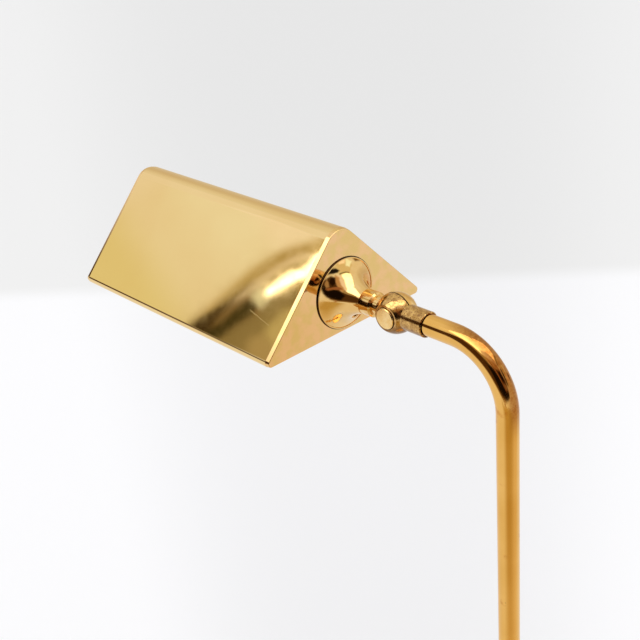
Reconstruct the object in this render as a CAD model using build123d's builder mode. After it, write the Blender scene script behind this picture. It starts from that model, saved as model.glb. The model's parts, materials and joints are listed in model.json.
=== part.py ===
from build123d import *
import os

# Adjustable table lamp, in millimetres. The origin is the centre of the base's
# underside, +Z runs up the post, and the arm carries the shade towards -X.

# Clearances
fit = 0.05  # on the radius, between a shaft and the bore that it runs in
seat = 0.02  # between two pieces that are fixed to each other
slack = 0.1  # between flat faces that turn on each other
gap = 0.35  # between pieces that only pass each other

# Arm
arm_height = 420  # table to the arm's level stretch
reach = 95  # post axis to the shade's near end
tube_radius = 5
tube_wall = 1
bend_radius = 28
travel_down = 60  # how far the arm sinks into the post from rest

# Shade, a tent of folded sheet closed by two pressed end caps
shade_length = 152
shade_half_width = 52.5  # to the sharp corner that the fold rounds off
shade_apex = 56  # to the sharp corner that the ridge rounds off
ridge_radius = 10
fold_radius = 2.3
sheet = 0.8
lip = 11  # sharp bottom corner to the free edge of the folded lip
axis_above_edge = 19.3  # bottom edge of the shade to the arm's axis
cap_sheet = 0.8
cap_rim = 2.2
cap_draft = 11  # degrees that the rim leans in from the sheet to the face
cap_edge_radius = 0.4
spigot_wall = 0.8
spigot_depth = 4.5

# Bell between the shade and the knuckle, measured along the arm from the end cap
bell_radius = 17.8
bell_lip = 0.9
bell_rim = 0.6  # height of the flare where it meets the lip
bell_throat_radius = 12
bell_throat = 3.8  # height at which the flare is that wide
bell_neck_radius = 6.25
bell_length = 15

# Knuckle: a ball split on the arm's mid plane and pinned across it
ball_distance = 33.3  # end cap to the ball's centre
ball_radius = 9.6
ball_flat = 7.2  # centre to the flat on each cheek
seam = 0.6
collar_radius = 6
collar_end = 21.5
collar_chamfer = 0.8
core_radius = 4.5
ferrule_end = 52.5
ferrule_radius = 6
ferrule_chamfer = 0.4
tube_insertion = 9
mouth_depth = 1.2
mouth_relief = 0.55
cavity_radius = 7.4
cavity_depth = 4.2
boss_radius = 3.8
recess_radius = 5.3
recess_floor = 5.4  # centre to the floor of the screw head's recess
wire_bore = 2.8

# Pivot screw and what it holds
pivot_radius = 2.5
head_radius = 5
head_proud = 0.8
head_bevel = 0.3
spring_washer_radius = 4.4
spring_washer_thickness = 1.1
spring_washer_slit = 0.8
pivot_nut_across = 8
pivot_nut_height = 2.4
pivot_end = 0.4  # screw end beyond the nut

# Threaded nipple that carries the bell, the end cap and the lampholder
nipple_radius = 5
nipple_bore = 3.5
nipple_in_collar = 5
nipple_in_holder = 7.5
backing_radius = 12
backing_thickness = 1.5
locknut_across = 14
locknut_height = 3

# Lampholder and lamp
holder_radius = 13
holder_wall = 1.2
holder_shoulder = 5.5
holder_cap_length = 14
holder_thread = 4
holder_length = 44
skirt_wall = 2.4
core_length = 22
core_floor = 7
shell_radius = 7.5
shell_wall = 0.5
shell_length = 20
contact_width = 3
contact_rise = 2
contact_span = 9
contact_thickness = 0.4
lamp_cap_radius = 6.8
lamp_cap_length = 17
lamp_tip_radius = 3
lamp_tip_height = 1.5
glass_radius = 12.5
glass_neck = 6.4
glass_shoulder = 8
glass_length = 66
glass_wall = 0.7

# Base
base_radius = 85
base_height = 20
base_shoulder = 7
step_radius = 32
step_rise = 2
step_edge = 1.6
cover_wall = 1
cover_foot = 1.2
felt = 2
felt_margin = 1.5
nut_recess_radius = 14
nut_recess_depth = 9
channel_width = 9.6
channel_depth = 10.8

# Post
post_radius = 7
post_wall = 1
post_top = 240
stud_radius = 5
stud_bore = 3.3
stud_flange_radius = 9
stud_flange = 2.5
stud_spigot = 12
stud_end = 2  # stud beyond its nut
base_washer_radius = 12
base_washer_thickness = 1.5
base_nut_across = 17
base_nut_height = 4
flange_radius = 24
flange_lip = 1.4
flange_rim = 1.1
flange_throat_radius = 14
flange_throat = 7.5
flange_neck_radius = 9
flange_length = 22
flange_recess = 3

# Guide at the arm's lower end
stop_gap = 1
ring_flange = 1.5
ring_flange_radius = 5.6
journal_radius = 4.4
journal_length = 8
ring_spigot = 8
ring_bore = 3.2
bush_chamfer = 0.5

# Clamp collar and thumbscrew
clamp_radius = 10
clamp_below = 12  # collar below the post's top
clamp_above = 13  # collar above it
clamp_round = 3
clamp_groove = 0.6
boss_screw_radius = 4.5
boss_reach = 12.5
screw_height = 6  # screw axis above the post's top
screw_radius = 2
pad_thickness = 1.5
thumb_neck_radius = 3.2
thumb_neck = 2
thumb_radius = 6.5
thumb_length = 7
thumb_bevel = 0.8
thumb_flutes = 20
thumb_flute_radius = 0.7

# Switch in the base, in front of the post
switch_margin = 27  # base's rim to the switch's axis
switch_radius = 8
switch_depth = 13
switch_neck_radius = 5
switch_neck = 3.4
switch_nut_radius = 7.5
switch_nut_height = 2.2
switch_nut_bevel = 0.7
button_radius = 3.6
button_proud = 3
button_length = 11
button_travel = 2.5
button_round = 1

# Cord inlet in the rim, on the side away from the shade
inlet_height = 8
inlet_radius = 4.5
inlet_bore = 3.2
inlet_flange_radius = 5.8
inlet_flange = 1.5
inlet_depth = 11

arm_axis = Axis((0, 0, arm_height), (1, 0, 0))
arm_plane = Plane(origin=(-reach, 0, arm_height), x_dir=(1, 0, 0), z_dir=(0, -1, 0))
ball_centre = (ball_distance - reach, 0, arm_height)
shade_edge_height = arm_height - axis_above_edge
base_top = base_height + step_rise
switch_distance = base_radius - switch_margin
post_inner = post_radius - post_wall
post_foot = base_top + stud_flange
tube_bore = tube_radius - tube_wall


def across_arm(distance):
    """Plane square to the arm, at a distance from the shade's near end towards the post."""
    return Plane(origin=(distance - reach, 0, arm_height), x_dir=(0, 1, 0), z_dir=(1, 0, 0))


def across_pin(distance):
    """Plane square to the pivot pin, at a distance behind the arm's mid plane."""
    x, y, z = ball_centre
    return Plane(origin=(x, y + distance, z), x_dir=(1, 0, 0), z_dir=(0, 1, 0))


def across_shade(depth):
    """Plane square to the shade on its bottom edge, at a depth from its near end."""
    return Plane(origin=(-reach - depth, 0, shade_edge_height), x_dir=(0, 1, 0), z_dir=(1, 0, 0))


def finish(piece, name):
    """Names a finished piece and writes it."""
    piece.part.label = name
    export_step(piece.part, f"parts/{name}.step")


def trumpet(radius, lip, rim, throat_radius, throat, neck_radius, length):
    """Half section of a turned trumpet standing on its mouth, with its axis along local Y."""
    with BuildSketch() as section:
        with BuildLine():
            flare = ThreePointArc((neck_radius, length), (throat_radius, throat), (radius - lip, rim))
            Line(flare @ 1, (radius - lip, lip))
            edge = CenterArc((radius - lip, 0), lip, 0, 90)
            Polyline(edge @ 0, (0, 0), (0, length), flare @ 0)
        make_face()
    return section.sketch


def tent(inset):
    """Outline of the shade seen along the arm, moved inward by inset."""
    with BuildSketch() as outline:
        with BuildLine():
            Polyline(
                (-shade_half_width, 0),
                (shade_half_width, 0),
                (0, shade_apex),
                close=True,
            )
        make_face()
        fillet(outline.vertices().group_by(Axis.Y)[0], radius=fold_radius)
        fillet(outline.vertices().group_by(Axis.Y)[-1], radius=ridge_radius)
        if inset:
            offset(amount=-inset, mode=Mode.REPLACE)
    return outline.sketch


def base_form(inset, bottom):
    """Solid inside the base's outer surface, moved inward by inset, from a height upwards."""
    with BuildPart() as form:
        with BuildSketch(Plane.XY.offset(bottom)):
            Circle(base_radius - inset)
        extrude(amount=base_height - inset - bottom)
        fillet(form.edges().group_by(Axis.Z)[-1], radius=base_shoulder - inset)
        with BuildSketch(Plane.XY.offset(bottom)):
            Circle(step_radius - inset)
        extrude(amount=base_top - inset - bottom)
        fillet(form.faces().sort_by(Axis.Z)[-1].edges(), radius=step_edge - inset)
    return form.part


def ball_slice(radius, low, high):
    """Slice of a ball about the knuckle's centre, between two distances along the pin."""
    with BuildPart() as piece:
        with Locations(ball_centre):
            Sphere(radius)
        with Locations(across_pin((low + high) / 2)):
            Box(2 * radius, 2 * radius, high - low, mode=Mode.INTERSECT)
    return piece.part


os.makedirs("parts", exist_ok=True)

# Felt pad under the base
with BuildPart() as felt_pad:
    with BuildSketch():
        Circle(base_radius - cover_wall - felt_margin)
    extrude(amount=felt)
finish(felt_pad, "felt_pad")

# Cast weight: recess for the post nut, pocket for the switch, channels for the wires
weight_form = base_form(cover_wall + seat, felt)
with BuildPart() as base_weight:
    add(weight_form)
    with BuildSketch(Plane.XY.offset(felt)):
        Circle(nut_recess_radius)
    extrude(amount=nut_recess_depth, mode=Mode.SUBTRACT)
    with BuildSketch(Plane.XY.offset(felt)):
        Rectangle(base_radius, channel_width, align=(Align.MIN, Align.CENTER))
        Rectangle(channel_width, switch_distance, align=(Align.CENTER, Align.MAX))
    extrude(amount=channel_depth, mode=Mode.SUBTRACT)
    with BuildSketch():
        Circle(stud_radius + seat)
        with Locations((0, -switch_distance)):
            Circle(switch_radius + gap)
    extrude(amount=base_top, mode=Mode.SUBTRACT)
finish(base_weight, "base_weight")

# Spun cover over the weight
cover_form = base_form(0, cover_foot)
cover_inside = base_form(cover_wall, cover_foot)
with BuildPart() as base_cover:
    add(cover_form)
    add(cover_inside, mode=Mode.SUBTRACT)
    with BuildSketch():
        Circle(stud_radius + seat)
        with Locations((0, -switch_distance)):
            Circle(switch_neck_radius + seat)
    extrude(amount=base_top, mode=Mode.SUBTRACT)
    with BuildSketch(Plane.YZ.offset(step_radius)):
        with Locations((0, inlet_height)):
            Circle(inlet_radius + seat)
    extrude(amount=base_radius, mode=Mode.SUBTRACT)
finish(base_cover, "base_cover")

# Inlet bush in the rim, its flange shaped to the rim's curve
with BuildPart() as cord_bush:
    with BuildSketch(Plane.YZ.offset(base_radius - inlet_flange)):
        with Locations((0, inlet_height)):
            Circle(inlet_flange_radius)
    extrude(amount=2 * inlet_flange)
    fillet(cord_bush.edges().group_by(Axis.X)[-1], radius=inlet_flange / 2)
    Cylinder(base_radius + seat, 2 * base_top, mode=Mode.SUBTRACT)
    with BuildSketch(Plane.YZ.offset(base_radius - inlet_depth)):
        with Locations((0, inlet_height)):
            Circle(inlet_radius)
    extrude(amount=inlet_depth + inlet_flange / 2)
    with BuildSketch(Plane.YZ.offset(base_radius - inlet_depth)):
        with Locations((0, inlet_height)):
            Circle(inlet_bore)
    extrude(amount=inlet_depth + 2 * inlet_flange, mode=Mode.SUBTRACT)
finish(cord_bush, "cord_bush")

# Push-button switch: body under the cover, threaded neck through it
switch_top = base_height - cover_wall - seat
with BuildPart() as switch_body:
    with BuildSketch(Plane.XY.offset(switch_top - switch_depth)):
        with Locations((0, -switch_distance)):
            Circle(switch_radius)
    extrude(amount=switch_depth)
    with BuildSketch(Plane.XY.offset(switch_top)):
        with Locations((0, -switch_distance)):
            Circle(switch_neck_radius)
    extrude(amount=cover_wall + seat + switch_neck)
    with Locations(switch_body.faces().sort_by(Axis.Z)[-1]):
        Hole(button_radius + fit, depth=button_length + button_travel + slack)
finish(switch_body, "switch_body")

with BuildPart() as switch_nut:
    with BuildSketch(Plane.XY.offset(base_height)):
        with Locations((0, -switch_distance)):
            Circle(switch_nut_radius)
            Circle(switch_neck_radius + seat, mode=Mode.SUBTRACT)
    extrude(amount=switch_nut_height)
    chamfer(switch_nut.edges().group_by(Axis.Z)[-1].sort_by(SortBy.RADIUS)[-1], length=switch_nut_bevel)
finish(switch_nut, "switch_nut")

with BuildPart() as switch_button:
    with BuildSketch(Plane.XY.offset(base_height + switch_neck + button_proud)):
        with Locations((0, -switch_distance)):
            Circle(button_radius)
    extrude(amount=-(button_length + button_proud))
    fillet(switch_button.edges().group_by(Axis.Z)[-1], radius=button_round)
finish(switch_button, "switch_button")

# Post stud: threaded shank down through the base, flange on the cover, spigot in the tube
recess_top = felt + nut_recess_depth
stud_bottom = recess_top - base_washer_thickness - base_nut_height - stud_end
with BuildPart() as post_stud:
    with BuildSketch(Plane.XY.offset(stud_bottom)):
        Circle(stud_radius)
    extrude(amount=base_top - stud_bottom)
    with BuildSketch(Plane.XY.offset(base_top)):
        Circle(stud_flange_radius)
    extrude(amount=stud_flange)
    with BuildSketch(Plane.XY.offset(post_foot)):
        Circle(post_inner - seat)
    extrude(amount=stud_spigot)
    Cylinder(stud_bore, 2 * post_top, mode=Mode.SUBTRACT)
finish(post_stud, "post_stud")

with BuildPart() as post_washer:
    with BuildSketch(Plane.XY.offset(recess_top - base_washer_thickness)):
        Circle(base_washer_radius)
        Circle(stud_radius + seat, mode=Mode.SUBTRACT)
    extrude(amount=base_washer_thickness)
finish(post_washer, "post_washer")

with BuildPart() as post_nut:
    with BuildSketch(Plane.XY.offset(recess_top - base_washer_thickness - base_nut_height)):
        RegularPolygon(base_nut_across / 2, 6, major_radius=False)
        Circle(stud_radius + seat, mode=Mode.SUBTRACT)
    extrude(amount=base_nut_height)
finish(post_nut, "post_nut")

# Turned flange that hides the post's foot, recessed over the stud's flange
post_flange_section = trumpet(
    flange_radius, flange_lip, flange_rim, flange_throat_radius, flange_throat, flange_neck_radius, flange_length
)
with BuildPart() as post_flange:
    with BuildSketch(Plane(origin=(0, 0, base_top), x_dir=(1, 0, 0), z_dir=(0, -1, 0))):
        add(post_flange_section)
    revolve(axis=Axis.Z)
    with BuildSketch(Plane.XY.offset(base_top)):
        Circle(post_radius + seat)
    extrude(amount=flange_length, mode=Mode.SUBTRACT)
    with BuildSketch(Plane.XY.offset(base_top)):
        Circle(stud_flange_radius + gap)
    extrude(amount=flange_recess, mode=Mode.SUBTRACT)
finish(post_flange, "post_flange")

with BuildPart() as post_tube:
    with BuildSketch(Plane.XY.offset(post_foot)):
        Circle(post_radius)
        Circle(post_inner, mode=Mode.SUBTRACT)
    extrude(amount=post_top - post_foot)
finish(post_tube, "post_tube")

# Collar on the post's top that guides and clamps the arm
screw_level = post_top + screw_height
screw_plane = Plane(origin=(0, 0, screw_level), x_dir=(0, 1, 0), z_dir=(1, 0, 0))
with BuildPart() as clamp_collar:
    with BuildSketch(Plane.XY.offset(post_top - clamp_below)):
        Circle(clamp_radius)
    extrude(amount=clamp_below + clamp_above)
    fillet(clamp_collar.edges().group_by(Axis.Z)[-1], radius=clamp_round)
    chamfer(clamp_collar.edges().group_by(Axis.Z)[0], length=clamp_groove)
    with BuildSketch(Plane.XZ):
        for height in (post_top - clamp_below / 2, post_top - clamp_below / 2 + 3 * clamp_groove):
            with Locations((clamp_radius, height)):
                Circle(clamp_groove)
    revolve(axis=Axis.Z, mode=Mode.SUBTRACT)
    with BuildSketch(screw_plane):
        Circle(boss_screw_radius)
    extrude(amount=boss_reach)
    with BuildSketch():
        Circle(post_radius + seat)
    extrude(amount=post_top, mode=Mode.SUBTRACT)
    with BuildSketch():
        Circle(tube_radius + fit)
    extrude(amount=arm_height, mode=Mode.SUBTRACT)
    with BuildSketch(screw_plane):
        Circle(screw_radius + fit)
    extrude(amount=reach, mode=Mode.SUBTRACT)
finish(clamp_collar, "clamp_collar")

# Soft pad between the screw's tip and the arm
pad_start = tube_radius + slack
with BuildPart() as clamp_pad:
    with BuildSketch(screw_plane.offset(pad_start)):
        Circle(screw_radius - slack)
    extrude(amount=pad_thickness)
finish(clamp_pad, "clamp_pad")

# Thumbscrew with a fluted head
screw_tip = pad_start + pad_thickness + slack
thumb_head_start = boss_reach + gap + thumb_neck
with BuildPart() as thumbscrew:
    with BuildSketch(screw_plane.offset(screw_tip)):
        Circle(screw_radius)
    extrude(amount=thumb_head_start - screw_tip)
    with BuildSketch(screw_plane.offset(boss_reach + gap)):
        Circle(thumb_neck_radius)
    extrude(amount=thumb_neck)
    with BuildSketch(screw_plane.offset(thumb_head_start)):
        Circle(thumb_radius)
        with PolarLocations(thumb_radius, thumb_flutes):
            Circle(thumb_flute_radius, mode=Mode.SUBTRACT)
    extrude(amount=thumb_length)
    with BuildSketch(screw_plane.offset(thumb_head_start + thumb_length)):
        Circle(thumb_radius - thumb_flute_radius - thumb_bevel)
    extrude(amount=thumb_bevel)
finish(thumbscrew, "thumbscrew")

# End ring pressed into the arm's lower end, with the journal that the guide bush runs on
ring_bottom = post_foot + stud_spigot + stop_gap + travel_down
journal_bottom = ring_bottom + ring_flange
tube_bottom = journal_bottom + journal_length
with BuildPart() as arm_end_ring:
    with BuildSketch(Plane.XY.offset(ring_bottom)):
        Circle(ring_flange_radius)
    extrude(amount=ring_flange)
    with BuildSketch(Plane.XY.offset(journal_bottom)):
        Circle(journal_radius)
    extrude(amount=journal_length)
    with BuildSketch(Plane.XY.offset(tube_bottom)):
        Circle(tube_bore - seat)
    extrude(amount=ring_spigot)
    Cylinder(ring_bore, 2 * arm_height, mode=Mode.SUBTRACT)
finish(arm_end_ring, "arm_end_ring")

with BuildPart() as guide_bush:
    with BuildSketch(Plane.XY.offset(journal_bottom + slack)):
        Circle(post_inner - fit)
        Circle(journal_radius + fit, mode=Mode.SUBTRACT)
    extrude(amount=journal_length - 2 * slack)
    chamfer(guide_bush.edges().filter_by(GeomType.CIRCLE).group_by(SortBy.RADIUS)[-1], length=bush_chamfer)
finish(guide_bush, "guide_bush")

# Bent arm tube, from the guide in the post to the ferrule of the knuckle
arm_end = ferrule_end - tube_insertion - reach
with BuildPart() as arm_tube:
    with BuildLine(Plane.XZ):
        upright = Line((0, tube_bottom), (0, arm_height - bend_radius))
        bend = TangentArc(upright @ 1, (-bend_radius, arm_height), tangent=(0, 1))
        Line(bend @ 1, (arm_end, arm_height))
    with BuildSketch(Plane.XY.offset(tube_bottom)):
        Circle(tube_radius)
        Circle(tube_bore, mode=Mode.SUBTRACT)
    sweep()
finish(arm_tube, "arm_tube")

# Cheeks of the knuckle. Each is a half ball with a hollow for the wires round the pin's boss
swing_radius = ball_radius + gap
front_swing = ball_slice(swing_radius, -swing_radius, seam)
rear_swing = ball_slice(swing_radius, 0, swing_radius)
front_ball = ball_slice(ball_radius, -ball_flat, 0)
rear_ball = ball_slice(ball_radius, seam, ball_flat)

with BuildPart() as arm_knuckle:
    with BuildSketch(across_arm(ball_distance)):
        Circle(ferrule_radius)
    extrude(amount=ferrule_end - ball_distance)
    chamfer(arm_knuckle.edges().group_by(Axis.X)[-1], length=ferrule_chamfer)
    add(rear_swing, mode=Mode.SUBTRACT)
    add(front_ball)
    with BuildSketch(across_pin(0)):
        Circle(cavity_radius)
        Circle(boss_radius, mode=Mode.SUBTRACT)
    extrude(amount=-cavity_depth, mode=Mode.SUBTRACT)
    with BuildSketch(across_arm(ferrule_end)):
        Circle(tube_radius + seat)
    extrude(amount=-tube_insertion, mode=Mode.SUBTRACT)
    with BuildSketch(across_arm(ferrule_end)):
        Circle(tube_radius + mouth_relief)
    extrude(amount=-mouth_depth, mode=Mode.SUBTRACT)
    with BuildSketch(across_arm(ball_distance + boss_radius + wire_bore / 2)):
        Circle(wire_bore)
    extrude(amount=ferrule_end - ball_distance, mode=Mode.SUBTRACT)
    with BuildSketch(across_pin(-recess_floor)):
        Circle(recess_radius)
    extrude(amount=-ball_radius, mode=Mode.SUBTRACT)
    with BuildSketch(across_pin(0)):
        Circle(pivot_radius + seat)
    extrude(amount=-ball_radius, mode=Mode.SUBTRACT)
finish(arm_knuckle, "arm_knuckle")

with BuildPart() as shade_knuckle:
    with BuildSketch(across_arm(bell_length)):
        Circle(collar_radius)
    extrude(amount=collar_end - bell_length)
    chamfer(shade_knuckle.edges().group_by(Axis.X)[-1], length=collar_chamfer)
    with BuildSketch(across_arm(collar_end)):
        Circle(core_radius)
    extrude(amount=ball_distance - collar_end)
    add(front_swing, mode=Mode.SUBTRACT)
    add(rear_ball)
    with BuildSketch(across_pin(seam)):
        Circle(cavity_radius)
        Circle(boss_radius, mode=Mode.SUBTRACT)
    extrude(amount=cavity_depth, mode=Mode.SUBTRACT)
    with BuildSketch(across_arm(bell_length)):
        Circle(nipple_radius + seat)
    extrude(amount=nipple_in_collar, mode=Mode.SUBTRACT)
    with BuildSketch(across_arm(bell_length)):
        Circle(wire_bore)
    extrude(amount=ball_distance - boss_radius - wire_bore / 2 - bell_length, mode=Mode.SUBTRACT)
    with BuildSketch(across_pin(recess_floor)):
        Circle(recess_radius)
    extrude(amount=ball_radius, mode=Mode.SUBTRACT)
    with BuildSketch(across_pin(0)):
        Circle(pivot_radius + fit)
    extrude(amount=ball_radius, mode=Mode.SUBTRACT)
finish(shade_knuckle, "shade_knuckle")

# Pivot screw through both cheeks, with its washers and nut
spring_washer_start = recess_floor + slack
pivot_nut_start = spring_washer_start + spring_washer_thickness
with BuildPart() as pivot_screw:
    with BuildSketch(across_pin(-ball_flat - head_proud)):
        Circle(head_radius)
    extrude(amount=ball_flat + head_proud - recess_floor)
    chamfer(pivot_screw.edges().group_by(Axis.Y)[0], length=head_bevel)
    with BuildSketch(across_pin(-recess_floor)):
        Circle(pivot_radius)
    extrude(amount=recess_floor + pivot_nut_start + pivot_nut_height + pivot_end)
finish(pivot_screw, "pivot_screw")

with BuildPart() as friction_washer:
    with BuildSketch(across_pin(0)):
        Circle(boss_radius)
        Circle(pivot_radius + seat, mode=Mode.SUBTRACT)
    extrude(amount=seam - slack)
finish(friction_washer, "friction_washer")

slit_align = (Align.MIN, Align.CENTER)
with BuildPart() as spring_washer:
    with BuildSketch(across_pin(spring_washer_start)):
        Circle(spring_washer_radius)
        Circle(pivot_radius + seat, mode=Mode.SUBTRACT)
        Rectangle(spring_washer_radius, spring_washer_slit, align=slit_align, mode=Mode.SUBTRACT)
    extrude(amount=spring_washer_thickness)
finish(spring_washer, "spring_washer")

with BuildPart() as pivot_nut:
    with BuildSketch(across_pin(pivot_nut_start)):
        RegularPolygon(pivot_nut_across / 2, 6, major_radius=False)
        Circle(pivot_radius + seat, mode=Mode.SUBTRACT)
    extrude(amount=pivot_nut_height)
finish(pivot_nut, "pivot_nut")

# Turned bell, bored for the nipple
bell_section = trumpet(
    bell_radius, bell_lip, bell_rim, bell_throat_radius, bell_throat, bell_neck_radius, bell_length
)
with BuildPart() as bell:
    with BuildSketch(Plane(origin=(-reach, 0, arm_height), x_dir=(0, 0, 1), z_dir=(0, 1, 0))):
        add(bell_section)
    revolve(axis=arm_axis)
    with BuildSketch(across_arm(0)):
        Circle(nipple_radius + seat)
    extrude(amount=bell_length, mode=Mode.SUBTRACT)
finish(bell, "bell")

backing_end = cap_sheet + backing_thickness
holder_start = backing_end + locknut_height
with BuildPart() as nipple:
    with BuildSketch(across_arm(bell_length + nipple_in_collar)):
        Circle(nipple_radius)
        Circle(nipple_bore, mode=Mode.SUBTRACT)
    extrude(amount=-(bell_length + nipple_in_collar + holder_start + nipple_in_holder))
finish(nipple, "nipple")

# Shade sheet, bent from one blank, with its lower edges folded inward
sheet_length = shade_length - 2 * cap_rim
with BuildPart() as shade_sheet:
    with BuildSketch(across_shade(cap_rim)):
        add(tent(0))
        add(tent(sheet), mode=Mode.SUBTRACT)
        Rectangle(2 * (shade_half_width - lip), 2 * fold_radius, mode=Mode.SUBTRACT)
    extrude(amount=-sheet_length)
finish(shade_sheet, "shade_sheet")

# Pressed end cap: flat face, drafted rim that meets the sheet, spigot inside the sheet
spigot_inset = sheet + seat
with BuildPart() as blank_cap:
    with BuildSketch(across_shade(cap_rim)):
        add(tent(0))
    extrude(amount=cap_rim, taper=cap_draft)
    fillet(blank_cap.faces().sort_by(Axis.X)[-1].edges(), radius=cap_edge_radius)
    with BuildSketch(across_shade(cap_rim)):
        add(tent(spigot_inset))
    extrude(amount=-spigot_depth)
    with BuildSketch(across_shade(cap_sheet)):
        add(tent(spigot_inset + spigot_wall))
    extrude(amount=-shade_length, mode=Mode.SUBTRACT)

with BuildPart() as near_end_cap:
    add(blank_cap.part)
    with BuildSketch(across_arm(0)):
        Circle(nipple_radius + seat)
    extrude(amount=-cap_rim, mode=Mode.SUBTRACT)
finish(near_end_cap, "near_end_cap")

with BuildPart() as far_end_cap:
    add(mirror(blank_cap.part, about=across_shade(shade_length / 2), mode=Mode.PRIVATE))
finish(far_end_cap, "far_end_cap")

with BuildPart() as backing_washer:
    with BuildSketch(across_arm(-cap_sheet)):
        Circle(backing_radius)
        Circle(nipple_radius + seat, mode=Mode.SUBTRACT)
    extrude(amount=-backing_thickness)
finish(backing_washer, "backing_washer")

with BuildPart() as locknut:
    with BuildSketch(across_arm(-backing_end)):
        RegularPolygon(locknut_across / 2, 6, major_radius=False)
        Circle(nipple_radius + seat, mode=Mode.SUBTRACT)
    extrude(amount=-locknut_height)
finish(locknut, "locknut")

# Lampholder: domed cap on the nipple, skirt, ceramic core, thread shell, centre contact
with BuildPart() as holder_cap:
    with BuildSketch(across_arm(-holder_start)):
        Circle(holder_radius)
    extrude(amount=-holder_cap_length)
    fillet(holder_cap.edges().group_by(Axis.X)[-1], radius=holder_shoulder)
    offset(amount=-holder_wall, openings=holder_cap.faces().sort_by(Axis.X)[0])
    with BuildSketch(across_arm(-holder_start)):
        Circle(nipple_radius + holder_wall)
    extrude(amount=-nipple_in_holder)
    with BuildSketch(across_arm(-holder_start)):
        Circle(nipple_radius + seat)
    extrude(amount=-nipple_in_holder, mode=Mode.SUBTRACT)
finish(holder_cap, "holder_cap")

skirt_start = holder_start + holder_cap_length
skirt_end = holder_start + holder_length
with BuildPart() as holder_skirt:
    with BuildSketch(across_arm(-skirt_start)):
        Circle(holder_radius)
    extrude(amount=-(skirt_end - skirt_start))
    fillet(holder_skirt.edges().group_by(Axis.X)[0], radius=holder_wall)
    with BuildSketch(across_arm(holder_thread - skirt_start)):
        Circle(holder_radius - holder_wall - seat)
    extrude(amount=-holder_thread)
    with BuildSketch(across_arm(holder_thread - skirt_start)):
        Circle(holder_radius - skirt_wall)
    extrude(amount=-holder_length, mode=Mode.SUBTRACT)
finish(holder_skirt, "holder_skirt")

core_start = skirt_start - holder_thread
shell_start = core_start + core_floor
with BuildPart() as holder_core:
    with BuildSketch(across_arm(-core_start)):
        Circle(holder_radius - skirt_wall - seat)
    extrude(amount=-core_length)
    with BuildSketch(across_arm(-shell_start)):
        Circle(shell_radius + seat)
    extrude(amount=-core_length, mode=Mode.SUBTRACT)
finish(holder_core, "holder_core")

with BuildPart() as holder_shell:
    with BuildSketch(across_arm(-shell_start)):
        Circle(shell_radius)
        Circle(shell_radius - shell_wall, mode=Mode.SUBTRACT)
    extrude(amount=-shell_length)
finish(holder_shell, "holder_shell")

contact_start = shell_start + contact_thickness
with BuildPart() as holder_contact:
    with BuildSketch(arm_plane):
        with BuildLine():
            leaf = ThreePointArc(
                (-contact_start, -contact_span / 2),
                (-contact_start - contact_rise, 0),
                (-contact_start, contact_span / 2),
            )
            offset(leaf, amount=contact_thickness, side=Side.RIGHT)
        make_face()
    extrude(amount=contact_width / 2, both=True)
finish(holder_contact, "holder_contact")

# Lamp: screw cap with its contact tip, and a tubular glass with a round end
tip_start = contact_start + contact_rise + contact_thickness + slack
lamp_cap_start = tip_start + lamp_tip_height
lamp_cap_end = lamp_cap_start + lamp_cap_length
with BuildPart() as lamp_cap:
    with BuildSketch(across_arm(-tip_start)):
        Circle(lamp_tip_radius)
    extrude(amount=-lamp_tip_height, taper=-45)
    with BuildSketch(across_arm(-lamp_cap_start)):
        Circle(lamp_cap_radius)
    extrude(amount=-lamp_cap_length)
    with BuildSketch(across_arm(-lamp_cap_end)):
        Circle(glass_neck - glass_wall)
    extrude(amount=lamp_cap_length / 2, mode=Mode.SUBTRACT)
finish(lamp_cap, "lamp_cap")

glass_start = lamp_cap_end
with BuildPart() as lamp_glass:
    with BuildSketch(Plane(origin=(-reach - glass_start, 0, arm_height), x_dir=(0, 0, 1), z_dir=(0, -1, 0))):
        with BuildLine():
            neck = Line((0, 0), (glass_neck, 0))
            flare = TangentArc(neck @ 1, (glass_radius, glass_shoulder), tangent=(0, 1))
            side = Line(flare @ 1, (glass_radius, glass_length - glass_radius))
            dome = TangentArc(side @ 1, (0, glass_length), tangent=(0, 1))
            Line(dome @ 1, (0, 0))
        make_face()
    revolve(axis=arm_axis)
    offset(amount=-glass_wall, openings=lamp_glass.faces().sort_by(Axis.X)[-1])
finish(lamp_glass, "lamp_glass")
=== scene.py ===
import json
import math

import bpy
import numpy as np
from mathutils import Euler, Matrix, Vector


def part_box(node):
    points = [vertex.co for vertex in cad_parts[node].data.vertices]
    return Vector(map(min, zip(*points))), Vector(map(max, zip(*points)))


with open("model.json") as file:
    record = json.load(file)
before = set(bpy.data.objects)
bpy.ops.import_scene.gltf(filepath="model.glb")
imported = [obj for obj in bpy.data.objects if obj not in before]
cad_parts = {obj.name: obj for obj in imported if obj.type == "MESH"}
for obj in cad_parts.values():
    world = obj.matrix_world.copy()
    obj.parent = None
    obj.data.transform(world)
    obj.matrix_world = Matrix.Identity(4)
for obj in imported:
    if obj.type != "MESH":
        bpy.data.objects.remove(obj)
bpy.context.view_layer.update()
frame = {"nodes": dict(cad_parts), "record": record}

mm = 0.001
nodes = frame["nodes"]

# Setting that makes a Map Range node ease in and out
smoothly = {"interpolation_type": "SMOOTHSTEP"}

# Read from the frame: the arm's level stretch, the shade's near end, and the radii of two turned rims
bell_low, bell_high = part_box("bell")
arm_level = (bell_low.z + bell_high.z) / 2
near_end = Vector((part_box("near_end_cap")[1].x, 0, arm_level))
bell_rim = bell_high.z - arm_level
flange_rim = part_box("post_flange")[1].x

# Arm's bend, as the CAD has it
bend_radius = 28 * mm
bend_centre = (-bend_radius, 0, arm_level - bend_radius)


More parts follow.
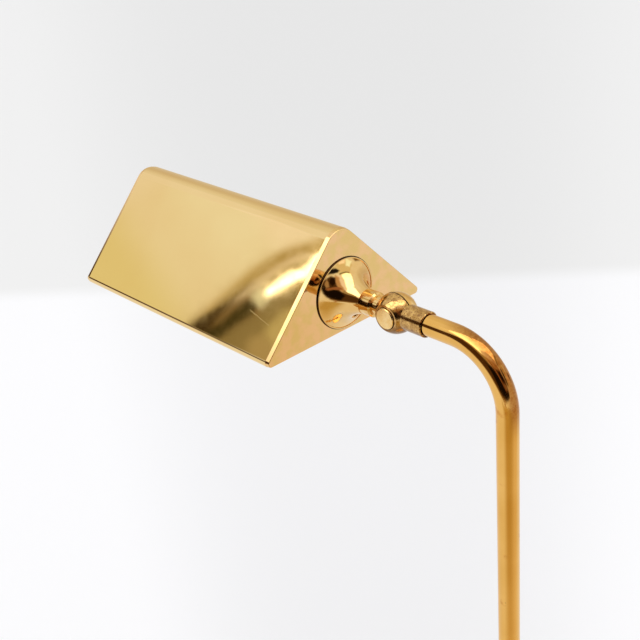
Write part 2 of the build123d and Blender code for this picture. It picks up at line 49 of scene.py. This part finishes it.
def linear(hex_colour):
    """sRGB hex to the linear RGBA that Blender's sockets take."""
    parts = [int(hex_colour[i:i + 2], 16) / 255 for i in (1, 3, 5)]
    return [c / 12.92 if c <= 0.04045 else ((c + 0.055) / 1.055) ** 2.4 for c in parts] + [1]


def add(tree, kind, settings=None, **links):
    """Adds a node: settings are its properties, links its inputs, each a value or another node's output.

    An input goes by its name, with _ for a space, or by i and its number.
    """
    node = tree.nodes.new(kind)
    for key, value in (settings or {}).items():
        setattr(node, key, value)
    for key, value in links.items():
        socket = node.inputs[int(key[1:]) if key[1:].isdigit() else key.replace("_", " ")]
        if isinstance(value, bpy.types.NodeSocket):
            tree.links.new(value, socket)
        else:
            socket.default_value = value
    return node


def open_up(material):
    """A finish's node tree, its Principled shader and the mesh's own coordinates."""
    tree = material.node_tree
    return tree, tree.nodes["Principled BSDF"], tree.nodes["Texture Coordinate"].outputs["Object"]


def finish_material(name, **shader):
    """A new material with a Principled shader whose constants are set on its own sockets."""
    material = bpy.data.materials.new(name)
    material.use_nodes = True
    add(material.node_tree, "ShaderNodeTexCoord")
    _, surface, _ = open_up(material)
    for key, value in shader.items():
        surface.inputs[key.replace("_", " ")].default_value = value
    return material


def source(surface, name):
    """The output that feeds one of the shader's inputs."""
    return surface.inputs[name].links[0].from_socket


def blend(tree, share, first, second):
    """Mixes two colours, each a hex or another node's output."""
    first, second = (linear(c) if isinstance(c, str) else c for c in (first, second))
    return add(tree, "ShaderNodeMix", {"data_type": "RGBA"}, i0=share, i6=first, i7=second).outputs[2]


def recolour(material, share, tone):
    """Lays a tone over a finish's colour, by a share from 0 to 1."""
    tree, surface, _ = open_up(material)
    tree.links.new(blend(tree, share, source(surface, "Base Color"), tone), surface.inputs["Base Color"])


def speckle(tree, place, size, start, end, detail=3.0):
    """0 to 1 in patches of that size in mm: 0 where the noise is below start, 1 where it is above end."""
    noise = add(tree, "ShaderNodeTexNoise", Vector=place, Scale=1 / (size * mm), Detail=detail).outputs[0]
    return add(tree, "ShaderNodeMapRange", smoothly, Value=noise, From_Min=start, From_Max=end).outputs[0]


def drift(tree, place, patch, low, high):
    """A colour that drifts between two tones in patches patch mm wide."""
    return blend(tree, speckle(tree, place, patch, 0.35, 0.65), low, high)


def distance(tree, place, centre, across):
    """Distance from a centre, measured only along the axes that are 1 in across."""
    away = add(tree, "ShaderNodeVectorMath", {"operation": "SUBTRACT"}, i0=place, i1=centre)
    level = add(tree, "ShaderNodeVectorMath", {"operation": "MULTIPLY"}, i0=away.outputs[0], i1=across)
    return add(tree, "ShaderNodeVectorMath", {"operation": "LENGTH"}, i0=level.outputs[0]).outputs["Value"]


def metal(name, low, high, patch, roughness, haze, edge, grain, stain=None, stained=0.0, pits=0.0):
    """Metal whose colour drifts between two tones.

    Its edges catch light as if rounded by edge mm, haze is how much its polish varies and grain the height
    of its fine marks in mm. stain is a darker skin, which covers more the higher stained is. pits is the
    size of its small dark spots, as a share of their spacing.
    """
    smear_width, pit_spacing, mark_width = 5, 9, 0.8  # mm
    material = finish_material(name, Metallic=1.0)
    tree, surface, place = open_up(material)
    smear = speckle(tree, place, smear_width, 0.3, 0.75, 6.0)
    rough = add(tree, "ShaderNodeMapRange", Value=smear, To_Min=roughness, To_Max=roughness + haze)
    tree.links.new(drift(tree, place, patch, low, high), surface.inputs["Base Color"])
    tree.links.new(rough.outputs[0], surface.inputs["Roughness"])
    if stain:
        recolour(material, speckle(tree, place, patch / 3, 0.62 - stained, 0.72 - stained, 8.0), stain)
    if pits:
        spots = add(tree, "ShaderNodeTexVoronoi", Vector=place, Scale=1 / (pit_spacing * mm))
        pit = add(tree, "ShaderNodeMapRange", Value=spots.outputs["Distance"], From_Min=pits,
                  From_Max=2 * pits, To_Min=1.0, To_Max=0.0)
        recolour(material, pit.outputs[0], "#5A3A16")
    rounded = add(tree, "ShaderNodeBevel", {"samples": 4}, Radius=edge * mm)
    fine = add(tree, "ShaderNodeTexNoise", Vector=place, Scale=1 / (mark_width * mm), Detail=4.0)
    marks = add(tree, "ShaderNodeBump", Strength=1.0, Distance=grain * mm, Height=fine.outputs[0],
                Normal=rounded.outputs[0])
    tree.links.new(marks.outputs[0], surface.inputs["Normal"])
    return material


def plain(name, low, high, patch, **shader):
    """A finish without a mirror's depth, whose colour drifts between two close tones."""
    material = finish_material(name, **shader)
    tree, surface, place = open_up(material)
    tree.links.new(drift(tree, place, patch, low, high), surface.inputs["Base Color"])
    return material


def darken_rim_grime_and_shade(material, centre, across, rim, begin, full, tone):
    """Darkens a turned piece at its rim: old polish and lacquer, and painted shade of the crevice at its
    neighbour.

    rim is its radius. The tone begins at begin mm inside it and is full at full mm inside it.
    """
    tree, _, place = open_up(material)
    radius = distance(tree, place, centre, across)
    share = add(tree, "ShaderNodeMapRange", Value=radius, From_Min=rim - begin * mm,
                From_Max=rim - full * mm)
    recolour(material, share.outputs[0], tone)


def add_spin_marks(material, apart, height):
    """Adds the fine rings that spinning and buffing leave round the Z axis, apart and height in mm."""
    tree, surface, place = open_up(material)
    radius = distance(tree, place, (0, 0, 0), (1, 1, 0))
    rings = add(tree, "ShaderNodeTexNoise", {"noise_dimensions": "1D"}, W=radius, Scale=1 / (apart * mm),
                Detail=2.0)
    marks = add(tree, "ShaderNodeBump", Strength=1.0, Distance=height * mm, Height=rings.outputs[0],
                Normal=source(surface, "Normal"))
    tree.links.new(marks.outputs[0], surface.inputs["Normal"])


def add_scratch(material, start, end, width, scratched):
    """Adds a fine straight scratch between two points, width mm wide, whose roughness is scratched."""
    tree, surface, place = open_up(material)
    along = (end - start).normalized()
    away = add(tree, "ShaderNodeVectorMath", {"operation": "SUBTRACT"}, i0=place, i1=start)
    reach = add(tree, "ShaderNodeVectorMath", {"operation": "DOT_PRODUCT"}, i0=away.outputs[0], i1=along)
    held = add(tree, "ShaderNodeClamp", Value=reach.outputs["Value"], Max=(end - start).length)
    foot = add(tree, "ShaderNodeVectorMath", {"operation": "SCALE"}, i0=along, Scale=held.outputs[0])
    off = distance(tree, away.outputs[0], foot.outputs[0], (1, 1, 1))
    share = add(tree, "ShaderNodeMapRange", Value=off, From_Min=width * mm / 4, From_Max=width * mm / 2,
                To_Min=1.0, To_Max=0.0)
    rough = add(tree, "ShaderNodeMix", i0=share.outputs[0], i2=source(surface, "Roughness"), i3=scratched)
    tree.links.new(rough.outputs[0], surface.inputs["Roughness"])


def darken_below_level(material, level, depth, most, tone):
    """Browns a piece below a level, up to the most at depth mm below it."""
    tree, _, place = open_up(material)
    height = add(tree, "ShaderNodeSeparateXYZ", Vector=place)
    share = add(tree, "ShaderNodeMapRange", smoothly, Value=height.outputs["Z"], From_Min=level,
                From_Max=level - depth * mm, To_Max=most)
    recolour(material, share.outputs[0], tone)


def add_patina(material, centre, bend, begin, inner, outer, grain, fleck, tone):
    """Browns the outer side of a tube bent round a centre in the XZ plane.

    It runs from begin mm beyond the centre to a little below the bend, and grows from inner to outer, in mm
    outside the tube's axis. Its flecks are grain mm wide, and fleck is the share of it that they leave.
    """
    grows_over, lower_end, full_height = 20, -12, 6  # mm, the last two from the centre's height
    tree, _, place = open_up(material)
    away = add(tree, "ShaderNodeVectorMath", {"operation": "SUBTRACT"}, i0=place, i1=centre)
    ahead = add(tree, "ShaderNodeVectorMath", {"operation": "MAXIMUM"}, i0=away.outputs[0], i1=(0, 0, 0))
    radius = distance(tree, ahead.outputs[0], (0, 0, 0), (1, 0, 1))
    part = add(tree, "ShaderNodeSeparateXYZ", Vector=away.outputs[0])
    flecks = speckle(tree, place, grain, 0.3, 0.7, 8.0)
    worn = add(tree, "ShaderNodeMapRange", Value=flecks, To_Min=fleck).outputs[0]
    times = {"operation": "MULTIPLY"}
    for value, start, end in ((radius, bend + inner * mm, bend + outer * mm),
                              (part.outputs["Z"], lower_end * mm, full_height * mm),
                              (part.outputs["X"], begin * mm, (begin + grows_over) * mm)):
        ramp = add(tree, "ShaderNodeMapRange", smoothly, Value=value, From_Min=start, From_Max=end)
        worn = add(tree, "ShaderNodeMath", times, i0=worn, i1=ramp.outputs[0]).outputs[0]
    recolour(material, worn, tone)


finishes = {
    # Mirror-polished sheet: clear reflections that a few faint smears soften
    "polished_brass": metal("polished_sheet_brass", "#E8C78A", "#EACC90", patch=60, roughness=0.04,
                            haze=0.02, edge=0.05, grain=0.0002),
    # Turned knuckle: its polish worn to a satin, finely speckled with a brown skin
    "knuckle_brass": metal("tarnished_turned_brass", "#B0864C", "#D8AE6A", patch=2, roughness=0.11,
                           haze=0.12, edge=0.12, grain=0.002, stain="#8C6242", stained=0.08),
    # Drawn tube under amber lacquer, with orange patina and a few pits
    "tube_brass": metal("amber_lacquered_tube", "#E0AC58", "#E8B664", patch=30, roughness=0.07, haze=0.05,
                        edge=0.1, grain=0.0006, stain="#CC8C42", stained=-0.04, pits=0.012),
    # Turned fittings of the base and the post: brighter and a little hazier than the shade
    "base_brass": metal("spun_polished_brass", "#E4BA72", "#E8C07A", patch=40, roughness=0.08, haze=0.02,
                        edge=0.2, grain=0.0005),
    # Screw threads straight off the lathe: a fine-grained satin
    "thread_brass": metal("machined_brass", "#D9B46E", "#E6C384", patch=5, roughness=0.2, haze=0.1,
                          edge=0.1, grain=0.002),
    # Bought-in nuts and washers: cool zinc beside the warm brass
    "zinc_steel": metal("zinc_plated_steel", "#B4B6BA", "#C6C8CB", patch=4, roughness=0.24, haze=0.12,
                        edge=0.1, grain=0.003),
    # Lamp's screw cap: soft grey sheet, lighter than the zinc
    "lamp_metal": metal("pressed_lamp_cap", "#BDBDBA", "#CDCDCB", patch=3, roughness=0.2, haze=0.1,
                        edge=0.1, grain=0.002),
    # Weight: dark and dull, a raw casting that nobody sees
    "grey_iron": plain("cast_iron", "#3A3A3C", "#4A4A4C", patch=3, Metallic=0.3, Roughness=0.75),
    # Pad under the base: green wool without any shine, flecked where its fibres lie thicker
    "green_felt": plain("pressed_wool_felt", "#24402E", "#33553F", patch=1, Roughness=0.95),
    # Guide and clamp pad: milky plastic with a dim shine
    "natural_nylon": plain("natural_nylon", "#D8D4C6", "#E4E1D6", patch=4, Roughness=0.5),
    # Friction washer: matt brick red, flecked like paper
    "red_fibre": plain("pressed_red_fibre", "#6B2418", "#7E3022", patch=1, Roughness=0.8),
    # Lampholder, switch and bush: near black with a moulded gloss
    "black_phenolic": plain("black_phenolic", "#151311", "#1E1B18", patch=6, Roughness=0.28),
    # Core of the lampholder: wet-looking warm white glaze
    "white_porcelain": plain("glazed_porcelain", "#E6E3DB", "#F0EEE8", patch=10, Roughness=0.12),
    # Lamp: white glass, frosted inside, that lets a little light through
    "pearl_glass": plain("pearl_glass", "#EDEDEA", "#F4F4F2", patch=10, Roughness=0.35,
                         Transmission_Weight=0.35),
}

# Shade's front: one fine scratch near its lower corner
scratch_start = near_end + Vector((-25.7, -36.5, -2.2)) * mm
scratch_end = near_end + Vector((-10.2, -38.5, -4.5)) * mm
add_scratch(finishes["polished_brass"], scratch_start, scratch_end, width=0.36, scratched=0.2)

# Front cheek and ferrule: browner towards the bottom
darken_below_level(finishes["knuckle_brass"], arm_level, depth=5, most=0.7, tone="#6E4A30")

# Arm: where hands bend the lamp, the lacquer on the outer side of its bend has turned copper brown
add_patina(finishes["tube_brass"], bend_centre, bend_radius, begin=-8, inner=3.0, outer=4.9, grain=1.2,
           fleck=0.75, tone="#A06228")

# End caps: pressed from another sheet, pinker, their lacquer mottled with olive
cap_brass = metal("mottled_cap_brass", "#E9BE87", "#DFBD78", patch=6, roughness=0.045, haze=0.03, edge=0.1,
                  grain=0.0002)

# Bell: turned and polished like the cap, with a dark line at its rim: old polish and painted crevice shade
# where it meets the cap
bell_brass = metal("turned_bell_brass", "#E2B872", "#E8C382", patch=8, roughness=0.04, haze=0.03, edge=0.05,
                   grain=0.0002)
darken_rim_grime_and_shade(bell_brass, near_end, (0, 1, 1), bell_rim, begin=0.6, full=0.35, tone="#2E1A0A")

# Base cover: spun on a lathe and buffed to a satin, with its fine rings left
cover_brass = metal("satin_spun_brass", "#E2B86E", "#E8C07A", patch=40, roughness=0.2, haze=0.06, edge=0.2,
                    grain=0.0005)
add_spin_marks(cover_brass, apart=0.7, height=0.006)

# Post's flange: the bell's dark line of old polish and painted crevice shade again, against the base
flange_brass = metal("turned_flange_brass", "#E0B46C", "#E8C382", patch=8, roughness=0.06, haze=0.04,
                     edge=0.05, grain=0.0003)
darken_rim_grime_and_shade(flange_brass, (0, 0, 0), (1, 1, 0), flange_rim, begin=0.6, full=0.3, tone="#3A220E")

# Rear cheek and its collar: better polished than the front cheek
rear_cheek_brass = metal("polished_knuckle_brass", "#DDAE62", "#E8C484", patch=5, roughness=0.07, haze=0.06,
                         edge=0.12, grain=0.0008)

# Pivot screw: its faced head is bright, a paler gold than the knuckle round it
screw_brass = metal("faced_screw_brass", "#ECC47E", "#F2D090", patch=3, roughness=0.2, haze=0.08, edge=0.1,
                    grain=0.001)

# Pieces whose finish differs from the rest of their slot
own_finish = {
    "near_end_cap": cap_brass,
    "far_end_cap": cap_brass,
    "bell": bell_brass,
    "base_cover": cover_brass,
    "post_flange": flange_brass,
    "shade_knuckle": rear_cheek_brass,
    "pivot_screw": screw_brass,
}
for row in frame["record"]["subparts"]:
    mesh = nodes[row["node"]].data
    mesh.materials.clear()
    mesh.materials.append(own_finish.get(row["node"], finishes[row["material_slot"]]))

# Camera at the photograph's place, in front of the shade's near end and above it
camera_data = bpy.data.cameras.new("camera")
camera_data.sensor_width = 36
camera_data.lens = 60.589
camera = bpy.data.objects.new("camera", camera_data)
camera.location = (240.743 * mm, -302.783 * mm, arm_level + 217.892 * mm)
camera.rotation_euler = Euler([math.radians(a) for a in (62.83527505, 4.89394624, 47.05230909)])
camera_data.clip_start = 0.01
camera_data.clip_end = 50
bpy.context.scene.collection.objects.link(camera)
bpy.context.scene.camera = camera


def show(obj):
    """Links a stage piece to the scene."""
    bpy.context.scene.collection.objects.link(obj)
    return obj


def studio_floor(half, lit, shaded, edge_from, edge_to, softness, foot, ahead, dimmed, side_turn):
    """Pale paper floor in a painted lit tone and a painted shaded tone, which meet softly along the line
    between two points.

    From the foot, painted shade dims the floor straight ahead by a little, and less to each side, until the
    turn whose cosine is side_turn.
    """
    material = finish_material("paper_floor", Roughness=0.9, Specular_IOR_Level=0.1)
    tree, surface, place = open_up(material)
    along = (edge_to - edge_from).normalized()
    beyond = Vector((-along.y, along.x, 0))
    apart = add(tree, "ShaderNodeVectorMath", {"operation": "SUBTRACT"}, i0=place, i1=edge_from)
    depth = add(tree, "ShaderNodeVectorMath", {"operation": "DOT_PRODUCT"}, i0=apart.outputs[0], i1=beyond)
    step = add(tree, "ShaderNodeMapRange", smoothly, Value=depth.outputs["Value"], From_Min=-softness,
               From_Max=softness)
    reach = add(tree, "ShaderNodeVectorMath", {"operation": "SUBTRACT"}, i0=place, i1=foot)
    outward = add(tree, "ShaderNodeVectorMath", {"operation": "NORMALIZE"}, i0=reach.outputs[0])
    turn = add(tree, "ShaderNodeVectorMath", {"operation": "DOT_PRODUCT"}, i0=outward.outputs[0], i1=ahead)
    side = add(tree, "ShaderNodeMapRange", smoothly, Value=turn.outputs["Value"], From_Min=1.0,
               From_Max=side_turn, To_Min=dimmed, To_Max=1.0)
    tones = blend(tree, step.outputs[0], lit, shaded)
    paper = add(tree, "ShaderNodeVectorMath", {"operation": "SCALE"}, i0=tones, Scale=side.outputs[0])
    tree.links.new(paper.outputs[0], surface.inputs["Base Color"])
    corners = [(-half, -half, 0), (half, -half, 0), (half, half, 0), (-half, half, 0)]
    mesh = bpy.data.meshes.new("floor")
    mesh.from_pydata(corners, [], [(0, 1, 2, 3)])
    mesh.materials.append(material)
    show(bpy.data.objects.new("floor", mesh))


def inward(outline, a, b):
    """Distance of each grid point from a closed outline, positive inside it."""
    nearest = np.full(a.shape, np.inf)
    inside = np.zeros(a.shape, bool)
    for (a0, b0), (a1, b1) in zip(outline, outline[1:] + outline[:1]):
        along = ((a - a0) * (a1 - a0) + (b - b0) * (b1 - b0)) / ((a1 - a0) ** 2 + (b1 - b0) ** 2)
        along = np.clip(along, 0, 1)
        nearest = np.minimum(nearest, np.hypot(a - a0 - along * (a1 - a0), b - b0 - along * (b1 - b0)))
        if b0 != b1:
            inside ^= ((b0 > b) != (b1 > b)) & (a < a0 + (b - b0) * (a1 - a0) / (b1 - b0))
    return np.where(inside, nearest, -nearest)


# Polished brass under plain white light, the tone that the cards' colours are judged against
white_on_brass = linear("#E8C88A")


def paint(a, b, shapes):
    """The light at each grid point: its colour and, last, its cover. Each shape covers those before it."""
    light = np.zeros(a.shape + (4,))
    for outline, colour, strength, softness in shapes:
        cover = np.clip(inward(outline, a, b) / softness / 2 + 0.5, 0, 1)[..., None]
        cover = cover * cover * (3 - 2 * cover)
        sent = np.array([strength * c / w for c, w in zip(linear(colour), white_on_brass)][:3])
        under = light[..., 3:] * (1 - cover)
        light[..., :3] = (sent * cover + light[..., :3] * under) / np.maximum(cover + under, 1e-6)
        light[..., 3:] = cover + under
    return light


def glow_material(name):
    """A material that sends the light painted on its mesh, and is clear where the light's cover is 0."""
    material = bpy.data.materials.new(name)
    material.use_nodes = True
    tree = material.node_tree
    tree.nodes.clear()
    painted = add(tree, "ShaderNodeAttribute", {"attribute_name": "light"})
    glow = add(tree, "ShaderNodeEmission", Color=painted.outputs["Color"], Strength=1.0)
    clear = add(tree, "ShaderNodeBsdfTransparent")
    mixed = add(tree, "ShaderNodeMixShader", i0=painted.outputs["Alpha"], i1=clear.outputs[0],
                i2=glow.outputs[0])
    add(tree, "ShaderNodeOutputMaterial", Surface=mixed.outputs[0])
    return material


def light_card(name, across, up, step, place, shapes, fade=0):
    """Card of light that only metal and glass mirror, painted on a grid over the across and up ranges.

    place turns a grid point into a position. Each shape is an outline on the grid, the colour that it shows
    in polished brass, its strength and the softness of its edge. The card is clear outside its shapes, and
    it fades out over the last fade of its grid.
    """
    count = [round((end - start) / step) + 1 for start, end in (across, up)]
    a, b = np.meshgrid(np.linspace(*across, count[0]), np.linspace(*up, count[1]))
    light = paint(a, b, shapes)
    if fade:
        rim = np.minimum(np.minimum(a - across[0], across[1] - a), np.minimum(b - up[0], up[1] - b))
        light[..., 3] *= np.clip(rim / fade, 0, 1)
    points = [place(*point) for point in zip(a.ravel().tolist(), b.ravel().tolist())]
    rows = np.arange(a.size).reshape(a.shape)
    faces = np.stack([rows[:-1, :-1], rows[:-1, 1:], rows[1:, 1:], rows[1:, :-1]], -1).reshape(-1, 4)
    mesh = bpy.data.meshes.new(name)
    mesh.from_pydata(points, [], faces.tolist())
    paint_layer = mesh.color_attributes.new("light", "FLOAT_COLOR", "POINT")
    paint_layer.data.foreach_set("color", light.ravel())
    mesh.materials.append(glow_material(name))
    card = show(bpy.data.objects.new(name, mesh))
    card.visible_camera = card.visible_diffuse = card.visible_shadow = card.visible_transmission = False


# Dome of the room round the bell, in metres
dome_radius = 1.2


def on_dome(azimuth, height):
    """Point of a dome round the bell, by compass angle and height angle in degrees."""
    azimuth, height = math.radians(azimuth), math.radians(height)
    level = math.cos(height)
    outward = Vector((math.cos(azimuth) * level, math.sin(azimuth) * level, math.sin(height)))
    return near_end + dome_radius * outward


# Flat wall that the shade's front mirrors: its middle and the directions across and up it
wall_centre = Vector((-963.7 * mm, -510.1 * mm, arm_level + 562.1 * mm))
wall_across = Vector((-0.508, 0.8615, 0))
wall_up = Vector((0.434, 0.256, 0.864))


def on_wall(across, up):
    """Point of the flat card that the shade's front mirrors, in mm from its middle."""
    return wall_centre + across * mm * wall_across + up * mm * wall_up


def over_floor(x, y):
    """Point just above the floor, in mm from the base's centre."""
    return x * mm, y * mm, 3 * mm


# Floor painted in a lit and a shaded tone, with painted shade straight ahead of the camera's foot
studio_floor(half=6, lit="#FDFDFF", shaded="#F1F1F1", edge_from=Vector((-1.140, 0.273, 0)),
             edge_to=Vector((-0.470, 0.874, 0)), softness=0.03,
             foot=Vector((camera.location.x, camera.location.y, 0)), ahead=Vector((-0.732, 0.681, 0)),
             dimmed=0.91, side_turn=0.955)

# The room, in degrees round the bell: a bright ceiling over a dark open side with lamps and stands in it
light_card("room", (-175, 75), (-20, 88), 1, on_dome, [
    ([(-136, 87), (-136, 43), (-121, 39), (-112, 40), (-90, 44), (-66, 43), (-58, 56), (-20, 62), (5, 58),
      (14, 46), (30, 44), (62, 44), (70, 60), (74, 87)], "#E8C88A", 2.8, 4),
    ([(-70, 34), (-64, 50), (-50, 58), (-20, 61), (6, 56), (14, 44), (0, 32)], "#F2C88C", 1.0, 5),
    ([(-76, 30), (-60, 44), (-46, 48), (-20, 47), (2, 43), (6, 30)], "#BC8444", 1.0, 4),
    ([(-112, 33), (-110, 40), (-95, 43), (-76, 41), (-58, 42), (-60, 28), (-100, 30)], "#A07A3C", 1.0, 3),
    ([(12, 8), (14, 36), (30, 42), (58, 42), (62, 20), (40, 6)], "#DDB870", 1.0, 3),
    ([(14, 37), (30, 41), (58, 41), (59, 44), (30, 45), (12, 41)], "#8C7536", 1.0, 1.5),
    ([(-114, -4), (-60, -8), (-40, -6), (-36, -12), (-60, -16), (-90, -14), (-114, -10)],
      "#8E6428", 1.0, 3),
    ([(-58, -12), (-51, -12), (-50, -22), (-58, -24)], "#B07E48", 1.0, 2),
    ([(-172, 20), (-152, 18), (-135, 19), (-124, 26), (-113, 34), (-95, 34), (-78, 31), (-60, 30),
      (-45, 31), (-30, 34), (-2, 33), (3, 20), (0, 4), (-6, -3), (-30, -9), (-60, -12), (-80, -10),
      (-100, -7), (-120, -4), (-135, 4), (-172, 2)], "#4A2A0C", 1.0, 3),
    ([(-74, 20), (-56, 26), (-40, 24), (-25, 10), (-8, 4), (-6, -2), (-30, -7), (-68, -8)],
      "#160B03", 1.0, 4),
    ([(-52, 42), (-40, 40), (-32, 30), (-24, 15), (-15, 3), (-24, 6), (-36, 20), (-47, 32)],
      "#96592A", 1.0, 2),
    ([(-24, 22), (-20, 31), (-10, 33), (-2, 30), (-2, 20), (-12, 17)], "#241002", 1.0, 2),
    ([(-20, 14), (-10, 15), (-1, 12), (-5, 6), (-16, 6)], "#A57842", 1.0, 2),
    ([(6, 12), (8, 26), (14, 33), (23, 33), (20, 22), (14, 10)], "#1B1209", 1.0, 2.5),
    ([(29, 10), (30, 20), (42, 22), (44, 10)], "#F0C890", 1.3, 2),
    ([(44, 13), (45, 27), (56, 27), (58, 14)], "#F2E6A8", 1.1, 2),
    ([(55, 8), (64, 8), (69, 0), (60, -2)], "#7A5220", 1.0, 2),
])

# The far side of the room, which dims the ridge and the outlines of round pieces
light_card("far_room", (76, 184), (-20, 78), 2, on_dome, [
    ([(84, -19), (84, 44), (100, 62), (160, 62), (176, 44), (176, -19)], "#DDBC7A", 1.0, 12),
    ([(88, -19), (88, 20), (104, 34), (156, 34), (172, 20), (172, -19)], "#CCA664", 1.0, 10),
], fade=6)

# What the shade's front mirrors, in mm: a bright wall, the dark edge of a curtain, and a window behind it
light_card("window_wall", (-200, 180), (-220, 230), 2, on_wall, [
    ([(-200, -220), (180, -220), (180, 230), (-200, 230)], "#F0D094", 1.0, 1),
    ([(-200, -220), (180, -220), (180, 75), (-200, 75)], "#E9CC8C", 1.0, 25),
    ([(-200, -220), (180, -220), (180, -10), (-200, -10)], "#E5C583", 1.0, 40),
    ([(-200, -220), (180, -220), (180, -110), (-200, -80)], "#DDBC6C", 1.0, 40),
    ([(-200, -220), (-96, -220), (-66, -160), (-42, -100), (-28, -40), (-17, 0), (-10, 30), (-8, 70),
      (-10, 100), (-16, 130), (-20, 179), (-26, 230), (-200, 230)], "#CAA258", 1.0, 9),
    ([(-200, -220), (-100, -220), (-70, -160), (-46, -100), (-38, -60), (-32, -30), (-24, 0), (-17, 30),
      (-12, 60), (-11, 85), (-17, 112), (-26, 135), (-22, 179), (-28, 230), (-200, 230)],
      "#B08A40", 1.0, 6),
    ([(-200, -220), (-100, -220), (-70, -160), (-50, -90), (-41, -50), (-37, -30), (-33, 0), (-30, 24),
      (-200, 24)], "#6B4E20", 1.0, 5),
    ([(-44, 130), (-37, 105), (-33, 78), (-37, 50), (-46, 22), (-56, -14), (-66, -45), (-56, -56),
      (-47, -38), (-38, 0), (-31, 30), (-26, 66), (-25, 95), (-29, 114)], "#E0BC7E", 1.0, 4),
    ([(-200, -220), (-100, -220), (-58, -160), (-46, -80), (-48, -45), (-44, -10), (-42, 20), (-46, 40),
      (-90, 60), (-200, 60)], "#8C6630", 1.0, 5),
    ([(-200, -220), (-100, -220), (-84, -160), (-80, -60), (-76, -20), (-76, 10), (-68, 30), (-66, 70),
      (-90, 100), (-200, 100)], "#8A6C34", 1.0, 6),
    ([(-200, 70), (-98, 78), (-89, 44), (-98, 16), (-106, 2), (-200, 0)], "#BC9A50", 1.0, 8),
    ([(-200, 6), (-106, 4), (-104, -22), (-114, -34), (-200, -40)], "#A88444", 1.0, 8),
    ([(-66, 11), (-54, 9), (-50, 0), (-55, -24), (-62, -50), (-64, -80), (-58, -110), (-84, -110),
      (-82, -60), (-76, -30), (-73, 0)], "#3A2C0A", 1.0, 4),
    ([(-42, -14), (-40, -36), (-41, -72), (-46, -108), (-76, -112), (-64, -70), (-52, -42), (-46, -22)],
      "#3C2608", 1.0, 4),
    ([(-72, 13), (-48, 10), (-44, 24), (-47, 42), (-56, 50), (-64, 38)], "#DEC684", 1.0, 5),
    ([(-45, 116), (-39, 100), (-37, 80), (-38, 50), (-43, 28), (-48, 34), (-43, 60), (-42, 90)],
      "#A08442", 1.0, 3),
    ([(-58, 28), (-50, 36), (-48, 50), (-45, 66), (-44, 80), (-49, 99), (-45, 113), (-39, 124),
      (-38, 146), (-62, 146), (-62, 100), (-58, 84), (-59, 60), (-60, 40)], "#E8C88A", 5.0, 3),
], fade=30)

# Shade on the floor between lamp and camera, in mm, which darkens the middle of the upright tube
light_card("floor_shade", (-200, 1200), (-1200, 800), 20, over_floor, [
    ([(60, -200), (120, 0), (500, 500), (1050, 600), (1050, -800), (400, -600)], "#DCB26C", 1.0, 140),
    ([(120, -320), (240, -120), (700, 20), (1050, -500), (700, -1000), (120, -1000)],
      "#BE9040", 1.0, 220),
])

world = bpy.data.worlds.new("studio")
world.use_nodes = True
bpy.context.scene.world = world
background = world.node_tree.nodes["Background"]
background.inputs["Color"].default_value = linear("#FFFFFF")
background.inputs["Strength"].default_value = 1.0

bpy.context.scene.view_settings.view_transform = "Standard"
